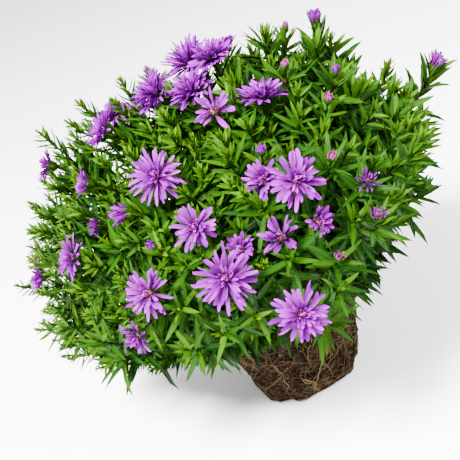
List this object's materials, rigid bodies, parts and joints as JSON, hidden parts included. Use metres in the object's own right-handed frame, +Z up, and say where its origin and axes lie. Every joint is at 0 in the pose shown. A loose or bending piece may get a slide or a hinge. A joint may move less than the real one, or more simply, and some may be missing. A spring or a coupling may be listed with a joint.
{
  "type": "aster plant with bare root ball",
  "caption": "Bushy garden aster lifted out of its pot: leafy branching stems with double purple flower heads and buds, standing on a bare, root-bound ball of soil.",
  "frame": {"origin": "centre of the root ball's flat base", "axes": "+Z up along the root ball's axis, -Y towards the side of the plant that the picture shows, +X to the right in the picture"},
  "size_m": [0.3962, 0.3718, 0.2838],
  "materials": {
    "leaf": "satin",
    "petal": "matte",
    "soil": "matte"
  },
  "bodies": {
    "root": {"bloom_01": "petal", "bloom_02": "petal", "bloom_03": "petal", "bloom_04": "petal", "bloom_05": "petal", "bloom_06": "petal", "bloom_07": "petal", "bloom_08": "petal", "bloom_09": "petal", "bloom_10": "petal", "bloom_11": "petal", "bloom_12": "petal", "bloom_13": "petal", "bloom_14": "petal", "bloom_15": "petal", "bloom_16": "petal", "bloom_17": "petal", "bloom_18": "petal", "bloom_19": "petal", "bloom_20": "petal", "bloom_21": "petal", "bloom_22": "petal", "bloom_23": "petal", "bloom_24": "petal", "bloom_25": "petal", "bloom_26": "petal", "bloom_27": "petal", "bloom_28": "petal", "bloom_29": "petal", "bloom_30": "petal", "bloom_31": "petal", "bloom_32": "petal", "bloom_33": "petal", "bloom_34": "petal", "bloom_35": "petal", "leafy_stem_01": "leaf", "leafy_stem_02": "leaf", "leafy_stem_03": "leaf", "leafy_stem_04": "leaf", "leafy_stem_05": "leaf", "leafy_stem_06": "leaf", "leafy_stem_07": "leaf", "leafy_stem_08": "leaf", "leafy_stem_09": "leaf", "leafy_stem_10": "leaf", "leafy_stem_11": "leaf", "leafy_stem_12": "leaf", "leafy_stem_13": "leaf", "leafy_stem_14": "leaf", "leafy_stem_15": "leaf", "leafy_stem_16": "leaf", "leafy_stem_17": "leaf", "leafy_stem_18": "leaf", "leafy_stem_19": "leaf", "leafy_stem_20": "leaf", "opening_bud_01": "petal", "opening_bud_02": "petal", "opening_bud_03": "petal", "root_ball": "soil"}
  },
  "joints": []
}
